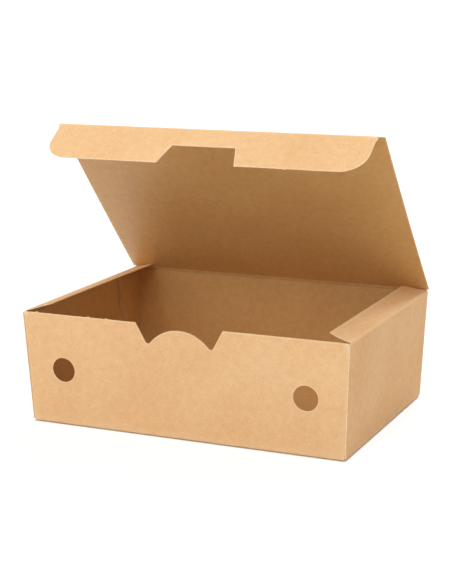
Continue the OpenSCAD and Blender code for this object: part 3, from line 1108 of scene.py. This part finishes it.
def moving_crease(name, start, end, before, after, rib, outward, flat_at):
    """A crease between two bodies, built for the angles at which they stand.

    The board runs from the fold along before, on the first body, and along after, on the
    second. In the flat cut the fold lies flat_at from the middle, and outward is across it.
    """
    before, after = np.array(before, float), np.array(after, float)
    axis = (end - start) / np.linalg.norm(end - start)
    verts = start + crease_section(axis, before, after, rib)
    corners = verts - verts.mean(0)
    facing = np.cross(corners, np.roll(corners, -1, axis=0)).sum(0) @ axis
    face = list(range(len(verts)))
    obj = new_mesh(name, verts, [face if facing > 0 else face[::-1]])
    set_values(obj.data, inner=np.repeat([1.0, 0.0], len(verts) // 2))
    tree = bpy.data.node_groups.get("Crease along a fold") or crease_tree()
    through_tree(obj, tree, Along=tuple(end - start))
    at = np.array([v.co for v in obj.data.vertices])
    across = (at - start) @ (after - before) / max(1 - before @ after, TINY)
    flat = (at @ np.abs(axis))[:, None] * np.abs(axis[:2])
    flat = flat + (flat_at + across)[:, None] * np.array(outward)
    set_values(obj.data, blank=on_blank(flat), crease=np.ones(len(at)))
    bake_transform(obj)


class TAKEAWAY_OT_creases(bpy.types.Operator):
    """Bend the four creases that move: the lid's, the tuck flap's and the dust flaps'"""

    bl_idname = "takeaway.creases"
    bl_label = "Bend the moving creases"

    def execute(self, context):
        flaps, walls = flap_sizes(), Walls()
        half = np.array([walls.hinge_x, 0, 0])
        up = rising(flaps.lid_open)
        moving_crease("lid_crease", walls.hinge - half, walls.hinge + half,
                      (0, -walls.sin, -walls.cos), up, flaps.lid_rib, (0, 1), walls.flat_hinge)
        half = np.array([flaps.tuck_half_w + flaps.tuck_ear, 0, 0])
        middle = tuck_axis(walls, flaps) + (flaps.tuck_skew, 0, 0)
        over = rising(flaps.lid_open - flaps.tuck_fold)
        moving_crease("tuck_crease", middle - half, middle + half,
                      -up, over, flaps.rib, (0, 1), walls.flat_hinge + flaps.lid_l)
        front, rear = flaps.dust_front - walls.hinge_y, walls.hinge_y - flaps.dust_back
        for name, side, tilt in dust_sides(flaps):
            at = np.array([side * walls.dust_x, 0, walls.side_fold_z])
            moving_crease(f"{name}_dust_crease",
                          at + (0, front, 0), at + (0, rear, 0), (-side * walls.sin, 0, -walls.cos),
                          (-side * math.cos(tilt), 0, math.sin(tilt)), flaps.rib, (side, 0),
                          walls.flat_dust)
        return {"FINISHED"}


# Stage


def seen(tree):
    """A mask that is 1 for what the camera sees, directly, in a reflection or through glass."""
    path = tree.nodes.new("ShaderNodeLightPath").outputs
    mask = math_node(tree, "MAXIMUM", path["Is Camera Ray"], path["Is Glossy Ray"])
    return math_node(tree, "MAXIMUM", mask, path["Is Transmission Ray"])


def pointing(azimuth, elevation):
    """The way out to a place at an azimuth from the front and an elevation."""
    level = math.cos(elevation)
    return Vector(
        (math.sin(azimuth) * level, -math.cos(azimuth) * level, math.sin(elevation))
    )


class TAKEAWAY_OT_stage(bpy.types.Operator):
    """Set up the camera, the floor, the soft lamps and the white surroundings"""

    bl_idname = "takeaway.stage"
    bl_label = "Set the stage"

    def execute(self, context):
        scene, look = context.scene, context.scene.takeaway_stage
        self.camera(scene, look)
        self.floor(look)
        self.world(scene, look)
        self.lamps(scene, look)
        scene.view_settings.view_transform = "Standard"
        return {"FINISHED"}

    def camera(self, scene, look):
        """The camera of the photograph."""
        data = bpy.data.cameras.new("camera")
        data.sensor_width, data.lens = 36.0, look.lens
        data.clip_start, data.clip_end = 0.01, 50
        cam = bpy.data.objects.new("camera", data)
        forward = -pointing(look.azimuth, look.elevation)
        right = forward.cross(Vector((0, 0, 1))).normalized()
        up = right.cross(forward)
        cos, sin = math.cos(look.roll), math.sin(look.roll)
        turn = Matrix((cos * right + sin * up, cos * up - sin * right, -forward)).transposed()
        cam.matrix_world = Matrix.Translation(look.camera_at) @ turn.to_4x4()
        scene.collection.objects.link(cam)
        scene.camera = cam

    def floor(self, look):
        """A pale floor that keeps the box's shadow and fades into the background."""
        around = ((-1, -1), (1, -1), (1, 1), (-1, 1))
        corners = [(x * FLOOR_HALF, y * FLOOR_HALF, 0) for x, y in around]
        obj = new_mesh("floor", corners, [(0, 1, 2, 3)])
        material, tree = new_material("floor")
        tree.nodes.remove(tree.nodes["Principled BSDF"])
        diffuse = add_node(tree, "ShaderNodeBsdfDiffuse", {"Color": (*look.floor, 1)})
        glow = add_node(tree, "ShaderNodeEmission", {"Strength": look.glow})
        place = tree.nodes.new("ShaderNodeTexCoord").outputs["Object"]
        away = vector_math(tree, "LENGTH", {0: place}).outputs["Value"]
        fade = {"Value": away, "From Min": look.near, "From Max": look.far, "To Min": look.haze}
        fade = add_node(tree, "ShaderNodeMapRange", fade)
        axes = add_node(tree, "ShaderNodeSeparateXYZ", {0: place}).outputs
        sizes = tray_sizes()
        past = math_node(tree, "MAXIMUM", *[
            math_node(tree, "SUBTRACT", math_node(tree, "ABSOLUTE", axis), half)
            for axis, half in zip(axes, (sizes.base_w / 2 - look.contact / 2, sizes.base_d / 2))
        ])
        foot = add_node(tree, "ShaderNodeMapRange", {"Value": past, "From Max": look.contact})
        washed = math_node(tree, "MULTIPLY", math_node(tree, "MULTIPLY", seen(tree), fade), foot)
        mix = add_node(tree, "ShaderNodeMixShader", {0: washed, 1: diffuse, 2: glow})
        set_inputs(tree, tree.nodes["Material Output"], {"Surface": mix})
        obj.data.materials.append(material)

    def world(self, scene, look):
        """White to the eye, and soft even light for the box."""
        world = bpy.data.worlds.new("studio")
        world.use_nodes = True
        tree = world.node_tree
        eye = seen(tree)
        strength = math_node(tree, "MULTIPLY_ADD", eye, 1.0 - look.sky, look.sky)
        tone = mixed(tree, eye, (*look.sky_colour, 1), (1, 1, 1, 1))
        set_inputs(tree, tree.nodes["Background"], {"Color": tone, "Strength": strength})
        scene.world = world

    def lamps(self, scene, look):
        """Four soft lamps, each at an azimuth from the front and an elevation."""
        for name, azimuth, elevation, power in (
            ("front_lamp", 0, 45, look.front),
            ("left_lamp", -60, 30, look.left),
            ("right_lamp", 90, 20, look.right),
            ("back_lamp", 180, 50, look.back),
        ):
            data = bpy.data.lights.new(name, "AREA")
            data.shape, data.size, data.energy = "SQUARE", look.lamp_size, power
            lamp = bpy.data.objects.new(name, data)
            away = pointing(math.radians(azimuth), math.radians(elevation))
            lamp.location = Vector(LAMP_AIM) + look.lamp_far * away
            lamp.rotation_mode = "QUATERNION"
            lamp.rotation_quaternion = away.to_track_quat("Z", "Y")
            scene.collection.objects.link(lamp)


class TAKEAWAY_PT_panel(bpy.types.Panel):
    """Buttons that make the box, piece by piece"""

    bl_label = "Takeaway box"
    bl_idname = "TAKEAWAY_PT_panel"
    bl_space_type = "VIEW_3D"
    bl_region_type = "UI"
    bl_category = "Takeaway box"

    def draw(self, context):
        column = self.layout.column()
        for operator in OPERATORS:
            column.operator(operator.bl_idname)
        for group in (name for name, _ in GROUPS):
            box = self.layout.box()
            settings = getattr(context.scene, group)
            for key in settings.bl_rna.properties.keys():
                if key not in ("rna_type", "name"):
                    box.prop(settings, key)


OPERATORS = (
    TAKEAWAY_OT_stage,
    TAKEAWAY_OT_tray,
    TAKEAWAY_OT_lid,
    TAKEAWAY_OT_tuck,
    TAKEAWAY_OT_dust,
    TAKEAWAY_OT_creases,
)
GROUPS = (
    ("takeaway_tray", TraySizes),
    ("takeaway_flaps", FlapSizes),
    ("takeaway_kraft", KraftLook),
    ("takeaway_stage", StageLook),
)


def register():
    """Adds the settings to the scene, and the operators and the panel to Blender."""
    for name, group in GROUPS:
        bpy.utils.register_class(group)
        setattr(bpy.types.Scene, name, PointerProperty(type=group))
    for cls in (*OPERATORS, TAKEAWAY_PT_panel):
        bpy.utils.register_class(cls)


def unregister():
    """Takes out what register adds."""
    for cls in (TAKEAWAY_PT_panel, *reversed(OPERATORS)):
        bpy.utils.unregister_class(cls)
    for name, group in reversed(GROUPS):
        delattr(bpy.types.Scene, name)
        bpy.utils.unregister_class(group)


def main():
    """Makes the box piece by piece."""
    register()
    bpy.ops.takeaway.stage()
    bpy.ops.takeaway.tray()
    bpy.ops.takeaway.lid()
    bpy.ops.takeaway.tuck()
    bpy.ops.takeaway.dust()
    bpy.ops.takeaway.creases()


if __name__ == "__main__":
    main()
